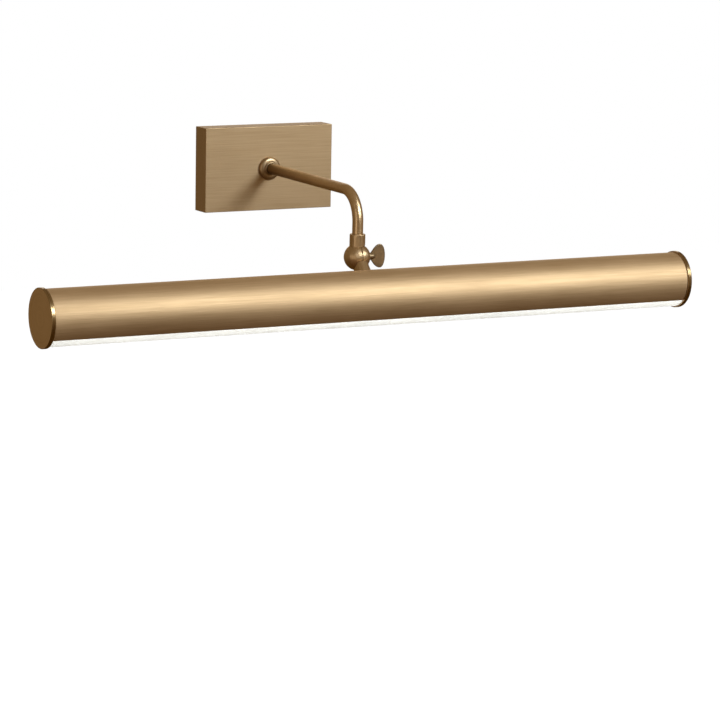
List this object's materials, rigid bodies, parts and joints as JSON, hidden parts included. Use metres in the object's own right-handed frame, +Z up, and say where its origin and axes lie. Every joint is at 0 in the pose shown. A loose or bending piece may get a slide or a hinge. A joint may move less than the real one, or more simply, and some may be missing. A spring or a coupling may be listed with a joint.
{
  "type": "picture light",
  "caption": "Wall-mounted picture light in satin brass: a long tubular head with an opal strip below, tilting on a thumbscrew knuckle at the end of a bent arm from a box canopy.",
  "frame": {"origin": "centre of the mounting plate's back face, in the plane of the wall, level with the arm", "axes": "+X along the lamp head to a viewer's right, +Y into the wall, +Z up"},
  "size_m": [0.6182, 0.2518, 0.1532],
  "materials": {
    "satin_brass": "warm antique brass, finely brushed, satin",
    "zinc_steel": "zinc-plated steel, dull",
    "aluminium": "plain extruded aluminium",
    "opal_acrylic": "opal acrylic, satin",
    "board_white": "white solder mask",
    "foam_tape": "foam tape",
    "dark_moulding": "moulded, fine texture",
    "pale_moulding": "moulded nylon",
    "lead_sleeve": "soft sleeve",
    "green_steel": "green dyed zinc plate",
    "ground_sleeve": "green insulation"
  },
  "bodies": {
    "wall_base": {"canopy_cover": "satin_brass", "set_screw_top_left": "satin_brass", "set_screw_top_right": "satin_brass", "set_screw_bottom_left": "satin_brass", "set_screw_bottom_right": "satin_brass", "arm_tube": "satin_brass", "arm_flange": "satin_brass", "arm_collar": "satin_brass", "knuckle_upper": "satin_brass", "mounting_plate": "zinc_steel", "arm_washer": "zinc_steel", "arm_locknut": "zinc_steel", "driver_tape": "foam_tape", "led_driver": "dark_moulding", "lead_bush": "dark_moulding", "supply_terminal": "pale_moulding", "arm_lead": "lead_sleeve", "ground_screw": "green_steel", "ground_lead": "ground_sleeve"},
    "lamp_head": {"knuckle_lower": "satin_brass", "stem_nipple": "zinc_steel", "saddle_washer": "zinc_steel", "stem_locknut": "zinc_steel", "head_tube": "satin_brass", "diffuser": "opal_acrylic", "led_carrier": "aluminium", "led_strip": "board_white", "lead_connector": "pale_moulding", "head_lead": "lead_sleeve", "carrier_screw_left": "zinc_steel", "carrier_screw_right": "zinc_steel", "end_cap_left": "satin_brass", "end_cap_right": "satin_brass"},
    "clamp_washer": {"clamp_washer": "satin_brass"},
    "thumbscrew": {"thumbscrew": "satin_brass"}
  },
  "joints": [
    {"name": "head_tilt", "type": "hinge", "parent": "wall_base", "child": "lamp_head", "pos_m": [0, -0.1951, -0.05833], "axis": [1, 0, 0], "range_deg": [-45, 135]},
    {"name": "clamp_travel", "type": "slide", "parent": "wall_base", "child": "clamp_washer", "axis": [1, 0, 0], "range_m": [0, 0.0018]},
    {"name": "thumbscrew_turn", "type": "hinge", "parent": "clamp_washer", "child": "thumbscrew", "pos_m": [0, -0.1951, -0.05833], "axis": [1, 0, 0], "range_deg": [0, 810]}
  ],
  "couplings": [
    {"joint": "clamp_travel", "follows": "thumbscrew_turn", "m_per_rad": 0.00012633}
  ]
}
